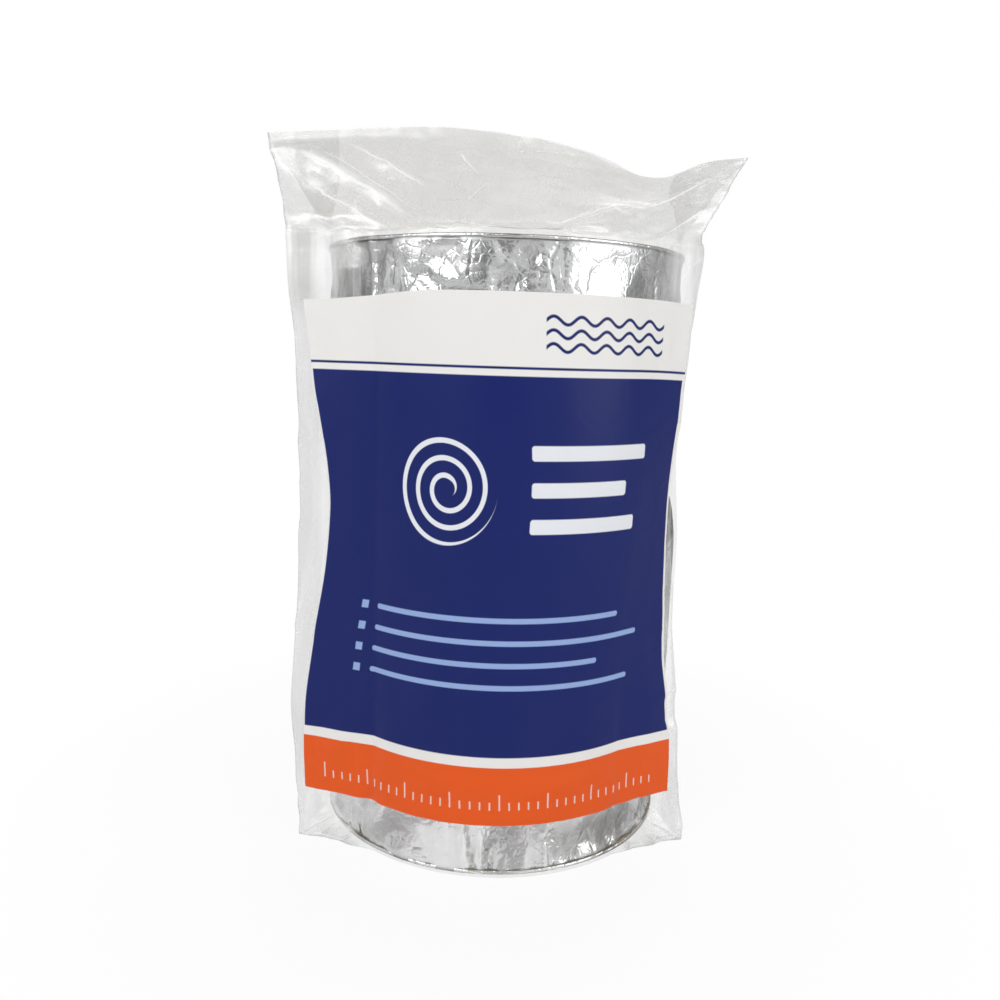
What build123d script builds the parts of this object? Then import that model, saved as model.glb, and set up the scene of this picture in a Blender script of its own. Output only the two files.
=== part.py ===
from build123d import *

import os
from math import acos, cos, degrees, pi, radians, sin

# A roll of foil-faced glass wool standing on its end in a clear film bag.
# Millimetres. The origin is on the roll's axis at the floor, +Z is up, and the bag's front faces -Y.
# Bearings are in degrees about the axis, from the front, positive towards the right.

os.makedirs("parts", exist_ok=True)

# The strip as sold, and the roll it is wound into
strip_width = 304.8
strip_length = 4572.0
roll_diameter = 190.0
bore_diameter = 30.0

# Each turn's wool swells out between the foil lines on both sides of it
turn_swell = 1.6

# The outer end of the strip, pressed down behind the roll
lap_step = 1.8
lap_bearing = 152.0

# The film bag. Its four side folds stand off the roll as wedges of doubled film
film_thickness = 0.8
film_clearance = 0.6
fold_spread = 20.0
tangent_share = 0.9
folds = {
    "front_left": {"bearing": -59.0, "foot": 23.0, "waist": 20.0, "rim": 25.5},
    "front_right": {"bearing": 61.0, "foot": 18.0, "waist": 5.0, "rim": 11.5},
    "back_right": {"bearing": 121.0, "foot": 12.0, "waist": 10.0, "rim": 14.0},
    "back_left": {"bearing": 245.0, "foot": 12.0, "waist": 10.0, "rim": 14.0},
}
waist_share = 0.6

# The gable over the roll, which rises steeply from the rim before it leans in, and the flat mouth
# above it where the layers are welded together
headroom = 34.0
brow_rise = 20.0
brow_lean = 0.45
mouth_forward = 30.0
mouth_left = 117.0
mouth_right = 105.0
mouth_thickness = 2.0
void_width_share = 0.75
void_depth_share = 0.6

# The mouth's uneven top edge: corners that lean out, and a dip right of the middle
corner_left = (4.0, 17.0)
corner_right = (13.0, 12.5)
top_edge = ((-80.0, 20.0), (-16.0, 21.5), (36.0, 13.5), (73.0, 1.5), (99.0, 10.0))

# Sizes that follow
roll_radius = roll_diameter / 2
bore_radius = bore_diameter / 2
turns = round(strip_length / (pi * (roll_radius + bore_radius)))
turn_thickness = (roll_radius - bore_radius) / turns
roll_base = film_thickness
roll_top = roll_base + strip_width
film_inside = roll_radius + film_clearance
film_outside = film_inside + film_thickness
void_shoulder = roll_top + film_clearance
shoulder = void_shoulder + film_thickness
mouth_base = shoulder + headroom


def polar(reach, bearing):
    """The point at that distance from the axis."""
    return (reach * sin(radians(bearing)), -reach * cos(radians(bearing)))


def half_spread(stand_off):
    """How far round the roll a fold's two films run before they meet the roll."""
    tangent = degrees(acos(film_outside / (film_outside + stand_off)))
    return min(fold_spread, tangent_share * tangent)


def end_profile(level, inward):
    """The turns as seen in section at one end, from the bore to the outside."""
    foil_line = level + inward * turn_swell
    points = []
    for k in range(turns):
        start = bore_radius + k * turn_thickness
        points.append((start, foil_line))
        points.append((start + turn_thickness / 2, level))
    points.append((roll_radius, foil_line))
    return points


# The roll: one turned solid with its bore, its turns showing on both ends
with BuildPart() as insulation_roll:
    with BuildSketch(Plane.XZ):
        with BuildLine():
            top = end_profile(roll_top, -1)
            bottom = end_profile(roll_base, 1)
            Polyline(*bottom, *reversed(top), close=True)
        make_face()
    revolve(axis=Axis.Z)

    # The strip's outer end leaves a step down the roll's side: half circles about two centres,
    # the second one smaller, take off a crescent that is widest at the lap
    with BuildSketch(Plane.XY.rotated((0, 0, lap_bearing - 90))):
        Circle(roll_radius + lap_step)
        with BuildLine():
            shift = lap_step / 2
            inner_radius = roll_radius - shift
            inner_start = inner_radius - shift
            ThreePointArc((roll_radius, 0), (0, roll_radius), (-roll_radius, 0))
            ThreePointArc((-roll_radius, 0), (-shift, -inner_radius), (inner_start, 0))
            Line((inner_start, 0), (roll_radius, 0))
        make_face(mode=Mode.SUBTRACT)
    extrude(amount=roll_top, mode=Mode.SUBTRACT)

insulation_roll.part.label = "insulation_roll"
export_step(insulation_roll.part, "parts/insulation_roll.step")


def draw_fold(bearing, stand_off):
    """Across one fold: its edge and the two feet where its films meet the roll's film."""
    seat = film_outside - film_thickness / 2
    spread = half_spread(stand_off)
    with BuildLine() as fold:
        Polyline(
            polar(film_outside + stand_off, bearing),
            polar(seat, bearing + spread),
            polar(seat, bearing - spread),
            close=True,
        )
    make_face(fold.edges())


def rim_corners():
    """The film at the roll's top edge: each fold's edge, then where its film meets and leaves the roll."""
    around = list(folds.values())
    corners = []
    for fold, following in zip(around, around[1:] + around[:1]):
        wrap = 360 if following is around[0] else 0
        leave = fold["bearing"] + half_spread(fold["rim"])
        arrive = following["bearing"] + wrap - half_spread(following["rim"])
        corners.append(polar(film_outside + fold["rim"], fold["bearing"]))
        corners += [polar(film_outside, bearing) for bearing in (leave, (leave + arrive) / 2, arrive)]
    return corners


def mouth_corners():
    """The flattened mouth, a little thicker in its middle, with as many corners as the rim."""
    left, right, end = -mouth_left, mouth_right, mouth_thickness / 2
    quarter = (right - left) / 4
    middle = (left + right) / 2
    front = [(left, -end), (left + quarter, -2 * end), (middle, -2 * end), (right - quarter, -2 * end)]
    right_side = [(right, -end), (right + end, -end / 3), (right + end, 0), (right + end, end / 3)]
    back = [(right, end), (right - quarter, 2 * end), (middle, 2 * end), (left + quarter, 2 * end)]
    left_side = [(left, end), (left - end, end / 3), (left - end, 0), (left - end, -end / 3)]
    return [(x, y - mouth_forward) for x, y in front + right_side + back + left_side]


def draw_film(lean):
    """The film in plan on its way from the rim, at a lean of 0, towards the mouth, at a lean of 1."""
    pairs = zip(rim_corners(), mouth_corners())
    corners = [(a + lean * (c - a), b + lean * (d - b)) for (a, b), (c, d) in pairs]
    with BuildLine() as film:
        for k in range(0, len(corners), 4):
            tip, leave, middle, arrive = corners[k : k + 4]
            Line(tip, leave)
            ThreePointArc(leave, middle, arrive)
            Line(arrive, corners[(k + 4) % len(corners)])
    make_face(film.edges())


def draw_mouth():
    """The mouth in plan, without the corners that lie in the middle of a straight run."""
    corners = [corner for k, corner in enumerate(mouth_corners()) if k % 4 != 2]
    with BuildLine() as mouth:
        Polyline(*corners, close=True)
    make_face(mouth.edges())


# The bag: a sleeve with four folds, a gable over the roll and a flat mouth, hollow round the roll
with BuildPart() as bag:
    with BuildSketch():
        Circle(film_outside)
    extrude(amount=shoulder)

    for fold in folds.values():
        for share, level in ((0, "foot"), (waist_share, "waist"), (1, "rim")):
            with BuildSketch(Plane.XY.offset(share * shoulder)):
                draw_fold(fold["bearing"], fold[level])
        loft(ruled=True)

    with BuildSketch(Plane.XY.offset(shoulder)):
        draw_film(0)
    with BuildSketch(Plane.XY.offset(shoulder + brow_rise)):
        draw_film(brow_lean)
    with BuildSketch(Plane.XY.offset(mouth_base)):
        draw_mouth()
    loft(ruled=True)

    with BuildSketch(Plane.XZ.offset(mouth_forward)):
        with BuildLine():
            left_base = (-mouth_left, mouth_base)
            right_base = (mouth_right, mouth_base)
            left_top = (left_base[0] - corner_left[0], left_base[1] + corner_left[1])
            right_top = (right_base[0] + corner_right[0], right_base[1] + corner_right[1])
            edge = [(x, mouth_base + rise) for x, rise in top_edge]
            Polyline(right_top, right_base, left_base, left_top)
            Spline(left_top, *edge, right_top)
        make_face()
    extrude(amount=mouth_thickness / 2, both=True)

    with BuildSketch(Plane.XY.offset(film_thickness)):
        Circle(film_inside)
    extrude(amount=void_shoulder - film_thickness, mode=Mode.SUBTRACT)

    with BuildSketch(Plane.YZ):
        with BuildLine():
            reach = void_depth_share * film_inside
            ridge = (-mouth_forward, mouth_base - mouth_thickness)
            Polyline((-reach, void_shoulder), (reach, void_shoulder), ridge, close=True)
        make_face()
    extrude(amount=void_width_share * film_inside, both=True, mode=Mode.SUBTRACT)

bag.part.label = "bag"
export_step(bag.part, "parts/bag.step")
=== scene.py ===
from math import acos, cos, pi, radians, sin, tau

import bpy
import numpy as np
from mathutils import Matrix, Vector
from mathutils.geometry import delaunay_2d_cdt


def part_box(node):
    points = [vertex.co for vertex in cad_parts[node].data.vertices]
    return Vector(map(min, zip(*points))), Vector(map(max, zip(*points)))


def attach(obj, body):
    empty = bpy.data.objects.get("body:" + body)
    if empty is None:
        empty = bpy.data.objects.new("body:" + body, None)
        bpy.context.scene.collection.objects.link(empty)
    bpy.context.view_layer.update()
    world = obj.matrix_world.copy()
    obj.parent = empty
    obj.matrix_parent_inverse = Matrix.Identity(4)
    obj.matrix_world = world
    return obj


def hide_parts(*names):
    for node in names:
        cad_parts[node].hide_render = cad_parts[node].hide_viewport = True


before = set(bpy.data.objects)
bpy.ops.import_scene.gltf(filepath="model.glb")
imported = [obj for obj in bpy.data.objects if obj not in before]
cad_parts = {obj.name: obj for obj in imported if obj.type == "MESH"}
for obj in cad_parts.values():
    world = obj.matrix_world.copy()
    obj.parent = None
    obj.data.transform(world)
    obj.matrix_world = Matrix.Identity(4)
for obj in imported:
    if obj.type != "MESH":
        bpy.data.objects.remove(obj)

bl_info = {
    "name": "Insulation roll in a film bag",
    "version": (1, 0, 0),
    "blender": (4, 5, 0),
    "location": "3D View > Sidebar > Roll",
    "description": "Crinkled foil, glass wool and a creased, printed film bag around the packed roll",
    "category": "Object",
}

# Metres, except where a name says otherwise. The axis of the roll is Z, and the bag's front faces -Y.
# Bearings are in degrees about the axis, from the front, positive towards the right.
MM = 0.001
BODY = "root"
ROLL_LOW, ROLL_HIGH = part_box("insulation_roll")
_, BAG_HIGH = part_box("bag")
ROLL_RADIUS = max(*ROLL_HIGH.xy, *-ROLL_LOW.xy)

# The film's four side folds: bearing, and how far each stands off the roll's film at these heights
FOLD_HEIGHTS = tuple(height * MM for height in (0, 27, 70, 105, 150, 184, 250, 306))
FOLDS = (
    (-59.0, (22.0, 23.0, 25.8, 24.3, 21.5, 20.5, 22.5, 27.0)),
    (61.0, (20.5, 17.0, 13.3, 8.9, 5.2, 3.3, 7.5, 11.0)),
    (121.0, (12.0, 11.5, 11.0, 10.7, 10.3, 10.0, 12.0, 14.0)),
    (245.0, (12.0, 11.5, 11.0, 10.7, 10.3, 10.0, 12.0, 14.0)),
)

# How far the solid bag's outside stands over the roll
SOLID_FILM = 1.4 * MM

# A fold's films leave the roll within this many degrees, or this share of the way to their tangent
FOLD_SPREAD = 20.0
TANGENT_SHARE = 0.9

# The gable's front as a flat sheet, and its creases: from and to as shares of it, then how wide and high
GABLE_FRONT = (237 * MM, 62 * MM)
GABLE_CREASES = (
    ((0.02, 0.97), (0.34, 0.22), 6.5, 1.3),
    ((0.06, 0.99), (0.37, 0.24), 5.5, 0.4),
    ((0.30, 0.26), (0.55, 0.02), 5.5, 0.8),
    ((0.03, 0.80), (0.26, 0.02), 5.5, 0.8),
    ((0.14, 0.98), (0.40, 0.45), 6.5, 0.6),
    ((0.98, 0.95), (0.76, 0.30), 5.5, 1.1),
    ((0.90, 0.72), (0.56, 0.10), 5.0, 0.8),
    ((0.88, 0.66), (0.60, 0.13), 5.0, 0.4),
    ((0.40, 0.92), (0.47, 0.62), 5.5, 0.5),
    ((0.47, 0.62), (0.42, 0.40), 5.5, 0.5),
    ((0.99, 0.62), (0.86, 0.03), 5.0, 0.7),
    ((0.04, 0.34), (0.16, 0.05), 5.0, 0.8),
)
STRONGEST_LIFT = max(lift for _, _, _, lift in GABLE_CREASES)

# The film left bare between the front folds and the print: height, then left and right, in millimetres
PRINT_MARGINS = (
    (28, 5.0, 5.9),
    (45, 5.3, 5.6),
    (65, 6.6, 5.5),
    (85, 8.0, 6.0),
    (105, 10.0, 6.4),
    (150, 15.5, 4.4),
    (175, 16.5, 2.8),
    (200, 15.0, 1.2),
    (240, 9.0, 1.2),
    (281, 6.5, 1.6),
)

# The roll isn't quite round: its lower half swells out smooth and tight under the film beside the print
SWELL = 3.4 * MM
SWELL_BEARING, SWELL_SPREAD = 82.0, 14.0
SWELL_HEIGHTS = tuple(height * MM for height in (8, 50, 150, 204))

# The mouth's upper corners lean out, left and right. Its top edge: distance right of the axis, and rise
# above the mouth's base
CORNER_LEANS = (4 * MM, 13 * MM)
MOUTH_EDGE = (
    (-121 * MM, 26.0 * MM),
    (-80 * MM, 29.0 * MM),
    (-16 * MM, 30.5 * MM),
    (36 * MM, 22.5 * MM),
    (73 * MM, 10.5 * MM),
    (99 * MM, 19.0 * MM),
    (118 * MM, 21.5 * MM),
)


class RollSizes(bpy.types.PropertyGroup):
    """The roll: its turns, its foil and its wool."""

    turns: bpy.props.IntProperty(
        name="Turns", description="Turns of the strip from the bore to the outside", default=13, min=3
    )
    bore: bpy.props.FloatProperty(
        name="Bore radius", description="Radius of the hole through the roll", default=15 * MM, unit="LENGTH"
    )
    swell: bpy.props.FloatProperty(
        name="Swell", description="How far the wool swells out between two turns of foil",
        default=1.6 * MM, unit="LENGTH",
    )
    lap_step: bpy.props.FloatProperty(
        name="Lap step", description="Height of the strip's outer end over the turn below it",
        default=1.8 * MM, unit="LENGTH",
    )
    lap_bearing: bpy.props.FloatProperty(
        name="Lap bearing", description="Where the strip's outer end lies, in degrees from the front",
        default=152.0,
    )
    foil_colour: bpy.props.FloatVectorProperty(
        name="Foil", description="Colour of the aluminium foil", subtype="COLOR", default=(0.86, 0.865, 0.87)
    )
    wool_colour: bpy.props.FloatVectorProperty(
        name="Wool", description="Colour of the glass wool", subtype="COLOR", default=(0.80, 0.66, 0.33)
    )


class BagSizes(bpy.types.PropertyGroup):
    """The film bag: its cut, its place and its print."""

    clearance: bpy.props.FloatProperty(
        name="Clearance", description="Gap between the foil and the film", default=1.0 * MM, unit="LENGTH"
    )
    mouth_forward: bpy.props.FloatProperty(
        name="Mouth forward", description="How far the flat mouth stands in front of the axis",
        default=30 * MM, unit="LENGTH",
    )
    mouth_left: bpy.props.FloatProperty(
        name="Mouth left", description="Left end of the mouth's base", default=117 * MM, unit="LENGTH"
    )
    mouth_right: bpy.props.FloatProperty(
        name="Mouth right", description="Right end of the mouth's base", default=105 * MM, unit="LENGTH"
    )
    headroom: bpy.props.FloatProperty(
        name="Headroom", description="Height of the mouth's base over the roll's end",
        default=25 * MM, unit="LENGTH",
    )
    shoulder: bpy.props.FloatProperty(
        name="Shoulder", description="How high the film rises over the rim before it leans in",
        default=9 * MM, unit="LENGTH",
    )
    gusset: bpy.props.FloatProperty(
        name="Gusset", description="How far the side panels fold in at the mouth",
        default=36 * MM, unit="LENGTH",
    )
    tube_round: bpy.props.FloatProperty(
        name="Tube round", description="Width of the film round the bag, as the tube was made",
        default=650 * MM, unit="LENGTH",
    )
    tube_length: bpy.props.FloatProperty(
        name="Tube length", description="Length of the tube from its lower weld to its upper edge",
        default=460 * MM, unit="LENGTH",
    )
    print_left: bpy.props.FloatProperty(
        name="Print left", description="Left edge of the print, along the film from its front line",
        default=-106 * MM, unit="LENGTH",
    )
    print_right: bpy.props.FloatProperty(
        name="Print right", description="Right edge of the print, along the film from its front line",
        default=110 * MM, unit="LENGTH",
    )
    print_foot: bpy.props.FloatProperty(
        name="Print foot", description="Height of the print's lower edge", default=28 * MM, unit="LENGTH"
    )
    print_head: bpy.props.FloatProperty(
        name="Print head", description="Height of the print's upper edge", default=281 * MM, unit="LENGTH"
    )
    field_top: bpy.props.FloatProperty(
        name="Field top", description="Height of the blue field's upper edge", default=244 * MM, unit="LENGTH"
    )
    field_foot: bpy.props.FloatProperty(
        name="Field foot", description="Height of the white line under the blue field",
        default=60 * MM, unit="LENGTH",
    )
    header_colour: bpy.props.FloatVectorProperty(
        name="Header", description="Colour of the print's header", subtype="COLOR", default=(0.84, 0.83, 0.81)
    )
    field_colour: bpy.props.FloatVectorProperty(
        name="Field", description="Colour of the print's main field", subtype="COLOR",
        default=(0.008, 0.017, 0.135),
    )
    band_colour: bpy.props.FloatVectorProperty(
        name="Band", description="Colour of the print's footer", subtype="COLOR", default=(0.80, 0.103, 0.012)
    )
    tint_colour: bpy.props.FloatVectorProperty(
        name="Tint", description="Pale tint of the print's small marks", subtype="COLOR",
        default=(0.30, 0.42, 0.72),
    )
    film_colour: bpy.props.FloatVectorProperty(
        name="Film", description="Colour of the clear film's haze", subtype="COLOR",
        default=(0.74, 0.74, 0.73),
    )


class StageSizes(bpy.types.PropertyGroup):
    """The floor, the lights and the camera."""

    floor_size: bpy.props.FloatProperty(
        name="Floor", description="Length of the floor's sides", default=6.0, unit="LENGTH"
    )
    floor_colour: bpy.props.FloatVectorProperty(
        name="Floor colour", description="Colour of the floor", subtype="COLOR", default=(0.92, 0.92, 0.92)
    )
    sky_level: bpy.props.FloatProperty(
        name="Sky level", description="Strength of the even light from all round", default=0.42
    )
    key_watts: bpy.props.FloatProperty(
        name="Key light", description="Power of the main softbox", default=14.5, unit="POWER"
    )


# Numbers in node trees


class Value:
    """One number from a node. Sums written on it add Math nodes."""

    def __init__(self, tree, socket):
        self.tree = tree
        self.socket = socket

    def __add__(self, other):
        return self.tree.math("ADD", self, other)

    __radd__ = __add__

    def __sub__(self, other):
        return self.tree.math("SUBTRACT", self, other)

    def __rsub__(self, other):
        return self.tree.math("SUBTRACT", other, self)

    def __mul__(self, other):
        return self.tree.math("MULTIPLY", self, other)

    __rmul__ = __mul__

    def __truediv__(self, other):
        return self.tree.math("DIVIDE", self, other)

    def __rtruediv__(self, other):
        return self.tree.math("DIVIDE", other, self)

    def __pow__(self, other):
        return self.tree.math("POWER", self, other)

    def __abs__(self):
        return self.tree.math("ABSOLUTE", self)


class Tree:
    """A node tree under construction."""

    def __init__(self, data):
        self.data = data
        data.nodes.clear()

    def feed(self, slot, value):
        """Links a Value to a socket, or sets the socket's own number, colour or object."""
        if isinstance(value, Value):
            self.data.links.new(value.socket, slot)
        else:
            slot.default_value = value

    def node(self, kind, settings=None, inputs=None, output=0):
        """Adds a node with its settings first and its sockets after, and gives back one output."""
        made = self.data.nodes.new(kind)
        for name, value in (settings or {}).items():
            setattr(made, name, value)
        for name, value in (inputs or {}).items():
            self.feed(made.inputs[name], value)
        return Value(self, made.outputs[output]) if made.outputs else made

    def math(self, operation, *values):
        return self.node("ShaderNodeMath", {"operation": operation}, dict(enumerate(values)))

    def mix(self, factor, first, second):
        """A colour between two colours."""
        return self.node(
            "ShaderNodeMix", {"data_type": "RGBA", "clamp_factor": True}, {0: factor, 6: first, 7: second}, 2
        )

    def step(self, value, start, end):
        """0 below start and 1 above end, smooth in between."""
        return self.node(
            "ShaderNodeMapRange",
            {"interpolation_type": "SMOOTHSTEP"},
            {"Value": value, "From Min": start, "From Max": end},
        )

    def noise(self, vector, scale, detail=2.0, roughness=0.5, distortion=0.0, settings=None):
        return self.node(
            "ShaderNodeTexNoise",
            settings,
            {
                "Vector": vector,
                "Scale": scale,
                "Detail": detail,
                "Roughness": roughness,
                "Distortion": distortion,
            },
        )

    def attribute(self, name):
        """A value that is kept at the mesh's points."""
        return self.node("ShaderNodeAttribute", {"attribute_name": name}, output="Fac")

    def scaled(self, vector, factors):
        """A vector times three factors, one for each axis."""
        return self.node("ShaderNodeVectorMath", {"operation": "MULTIPLY"}, {0: vector, 1: factors})

    def bump(self, height, distance, strength=1.0, normal=None):
        inputs = {"Height": height, "Distance": distance, "Strength": strength}
        if normal is not None:
            inputs["Normal"] = normal
        return self.node("ShaderNodeBump", None, inputs)

    def principled(self, inputs):
        """The shader and its output."""
        shader = self.node("ShaderNodeBsdfPrincipled", None, inputs)
        self.node("ShaderNodeOutputMaterial", None, {"Surface": shader})


def colour4(colour):
    return (*colour, 1.0)


def new_material(name):
    material = bpy.data.materials.new(name)
    material.use_nodes = True
    return material, Tree(material.node_tree)


# Meshes


def polar(reach, bearing):
    """The point at that distance from the axis, seen from above."""
    return np.array((reach * sin(radians(bearing)), -reach * cos(radians(bearing))))


def swelling(bearing, height):
    """1 where the roll swells out most."""
    low, full, still, high = SWELL_HEIGHTS
    tall = smoothstep(height, low, full) * (1 - smoothstep(height, still, high))
    return tall * np.exp(-(((bearing - SWELL_BEARING) / SWELL_SPREAD) ** 2))


def sheet_object(name, points, material, chart=None):
    """An object from a grid of points in rows that close on themselves, facing away from the axis."""
    rows, columns = points.shape[:2]
    row, column = np.meshgrid(np.arange(rows - 1), np.arange(columns), indexing="ij")
    beside = (column + 1) % columns
    corners = np.stack(
        (
            row * columns + column,
            row * columns + beside,
            (row + 1) * columns + beside,
            (row + 1) * columns + column,
        ),
        axis=-1,
    ).reshape(-1, 4)
    mesh = bpy.data.meshes.new(name)
    mesh.from_pydata(points.reshape(-1, 3).tolist(), [], corners.tolist())
    mesh.shade_smooth()
    if chart is not None:
        layer = mesh.uv_layers.new(name="film")
        along = np.stack((column, column + 1, column + 1, column), axis=-1)
        up = np.stack((row, row, row + 1, row + 1), axis=-1)
        layer.uv.foreach_set("vector", chart[up, along].astype(np.float32).ravel())
    mesh.materials.append(material)
    made = bpy.data.objects.new(name, mesh)
    bpy.context.scene.collection.objects.link(made)
    return made


def keep_values(made, layers):
    """Keeps values at the mesh's points, for its material."""
    for name, values in layers.items():
        layer = made.data.attributes.new(name, "FLOAT", "POINT")
        layer.data.foreach_set("value", values.ravel().astype(np.float32))


def facets(width, height, columns, rows, spacing, depth, seed, stretch=1.0, wrap=True):
    """Flat facets between random points of a sheet: their height at each point of its grid.

    The sheet closes on itself sideways, and stretch makes the facets taller than they are wide."""
    random = np.random.default_rng(seed)
    across = max(3, round(width / spacing))
    up = max(2, round(height / (spacing * stretch))) + 2
    cell_width = width / across
    cell_height = height / (up - 2)
    jitter = random.uniform(0.0, 0.96, (up, across, 2))
    x = (np.arange(across)[None, :] + jitter[..., 0]) * cell_width
    y = (np.arange(-1, up - 1)[:, None] + jitter[..., 1]) * cell_height
    lift = random.uniform(-1, 1, (up, across)) * depth
    copies = (-1, 0, 1) if wrap else (0,)
    places = np.concatenate([np.stack((x + k * width, y), axis=-1).reshape(-1, 2) for k in copies])
    lifts = np.tile(lift.ravel(), len(copies))
    flat = [Vector(place) for place in places.tolist()]
    found = delaunay_2d_cdt(flat, [], [], 0, 1e-9)
    origins = np.array([origin[0] for origin in found[3]])
    places, lifts = places[origins], lifts[origins]
    triangles = np.array(found[2])
    result = np.zeros((rows, columns))
    step_x = width / columns
    step_y = height / (rows - 1)
    for a, b, c in triangles:
        corner = places[[a, b, c]]
        low, high = corner.min(0), corner.max(0)
        first_column = max(0, int(np.ceil(low[0] / step_x)))
        last_column = min(columns - 1, int(np.floor(high[0] / step_x)))
        first_row = max(0, int(np.ceil(low[1] / step_y)))
        last_row = min(rows - 1, int(np.floor(high[1] / step_y)))
        if first_column > last_column or first_row > last_row:
            continue
        px = np.arange(first_column, last_column + 1)[None, :] * step_x
        py = np.arange(first_row, last_row + 1)[:, None] * step_y
        (ax, ay), (bx, by), (cx, cy) = corner
        area = (bx - ax) * (cy - ay) - (cx - ax) * (by - ay)
        share_b = ((px - ax) * (cy - ay) - (cx - ax) * (py - ay)) / area
        share_c = ((bx - ax) * (py - ay) - (px - ax) * (by - ay)) / area
        inside = (share_b >= -1e-9) & (share_c >= -1e-9) & (share_b + share_c <= 1 + 1e-9)
        height_here = lifts[a] + share_b * (lifts[b] - lifts[a]) + share_c * (lifts[c] - lifts[a])
        block = result[first_row : last_row + 1, first_column : last_column + 1]
        block[inside] = height_here[inside]
    return result


def smoothstep(value, start, end):
    share = np.clip((value - start) / (end - start), 0, 1)
    return share * share * (3 - 2 * share)


def ridge(x, y, start, end, width, taper=0.25):
    """A straight fold between two points of a sheet: 1 along its line, falling to 0 at its sides."""
    start, end = np.array(start), np.array(end)
    along = end - start
    share = ((x - start[0]) * along[0] + (y - start[1]) * along[1]) / (along @ along)
    length = np.hypot(*along)
    off = np.abs((x - start[0]) * along[1] - (y - start[1]) * along[0]) / length
    ends = smoothstep(share, 0, taper) * smoothstep(1 - share, 0, taper)
    return smoothstep(1 - off / width, 0, 1) * ends


# Materials


def make_foil(sizes):
    """Bright crinkled aluminium, duller where it has been rubbed, with painted shade in its dents and along
    its edges and a painted highlight on its sharp creases.
    """
    material, tree = new_material("crinkled_foil")
    place = tree.node("ShaderNodeTexCoord", output="Object")
    cloud = tree.noise(place, 28.0, 3.0)
    rubbed = tree.step(cloud, 0.52, 0.70)
    grain = tree.noise(tree.scaled(place, (1.0, 1.0, 0.35)), 900.0, 2.0)
    cells = tree.node(
        "ShaderNodeTexVoronoi",
        {"feature": "DISTANCE_TO_EDGE"},
        {"Vector": place, "Scale": 230.0, "Randomness": 1.0},
    )
    crinkle = tree.step(cells, 0.0, 0.18)
    fine = tree.noise(place, 420.0, 3.0, 0.6)
    broad = tree.node(
        "ShaderNodeTexVoronoi",
        {"feature": "DISTANCE_TO_EDGE"},
        {"Vector": tree.scaled(place, (1.0, 1.0, 0.75)), "Scale": 95.0, "Randomness": 1.0},
    )
    broken = tree.step(tree.noise(place, 34.0, 2.0), 0.42, 0.56)
    ridges = tree.step(broad, 0.0, 0.16) * broken
    height = crinkle * (0.15 + 0.25 * rubbed) + ridges * 0.8 + fine * 0.30 + grain * 0.12
    dent_shade = tree.attribute("dent_shade")
    crease = tree.attribute("crease")
    # Darker in the deep dents: painted shade in the hollows, mixed with duller rubbed patches that are real
    # wear
    dulled_and_shaded = tree.step(dent_shade, 0.25, 0.95) * 0.75 + rubbed * 0.25
    colour = tree.mix(dulled_and_shaded, colour4(sizes.foil_colour), (0.46, 0.465, 0.46, 1))
    # Sharp ridges lighter, towards white: a painted highlight along the creases
    colour = tree.mix(tree.step(crease, 0.15, 0.7) * 0.8, colour, (0.95, 0.95, 0.95, 1))
    # Both edges of the foil darkened nearly to black: painted shade where it curls over the wool, with
    # rougher foil there
    rim = tree.attribute("rim")
    colour = tree.mix(rim * 0.85, colour, (0.13, 0.13, 0.125, 1))
    tree.principled(
        {
            "Base Color": colour,
            "Metallic": 1.0,
            "Roughness": 0.17 + rubbed * 0.13 + cloud * 0.06 + rim * 0.3,
            "Normal": tree.bump(height, 0.00040),
        }
    )
    return material


def make_wool(sizes):
    """Pale glass wool: matted fibres whose tone is partly uneven and partly painted light: darker where the
    bump sinks, as painted shade in the gaps, and paler on the raised fibres, as a painted highlight at the
    tips.
    """
    material, tree = new_material("glass_wool")
    place = tree.node("ShaderNodeTexCoord", output="Object")
    mat = tree.noise(place, 160.0, 4.0, 0.65, 1.2)
    fibre = tree.noise(tree.scaled(place, (1.0, 1.0, 0.4)), 1400.0, 3.0, 0.7, 2.5)
    pale = colour4([0.55 + 0.45 * part for part in sizes.wool_colour])
    # Darker where the matted bump sinks: painted shade in the gaps; paler on the raised fibres: painted
    # highlight at the tips
    shaded_gap_colour = colour4([0.62 * part for part in sizes.wool_colour])
    body = tree.mix(tree.step(mat, 0.32, 0.68), shaded_gap_colour, colour4(sizes.wool_colour))
    colour = tree.mix(tree.step(fibre, 0.5, 0.72) * 0.6, body, pale)
    tree.principled(
        {
            "Base Color": colour,
            "Roughness": 0.93,
            "Specular IOR Level": 0.2,
            "Normal": tree.bump(mat * 0.6 + fibre * 0.4, 0.0012),
        }
    )
    return material


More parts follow.
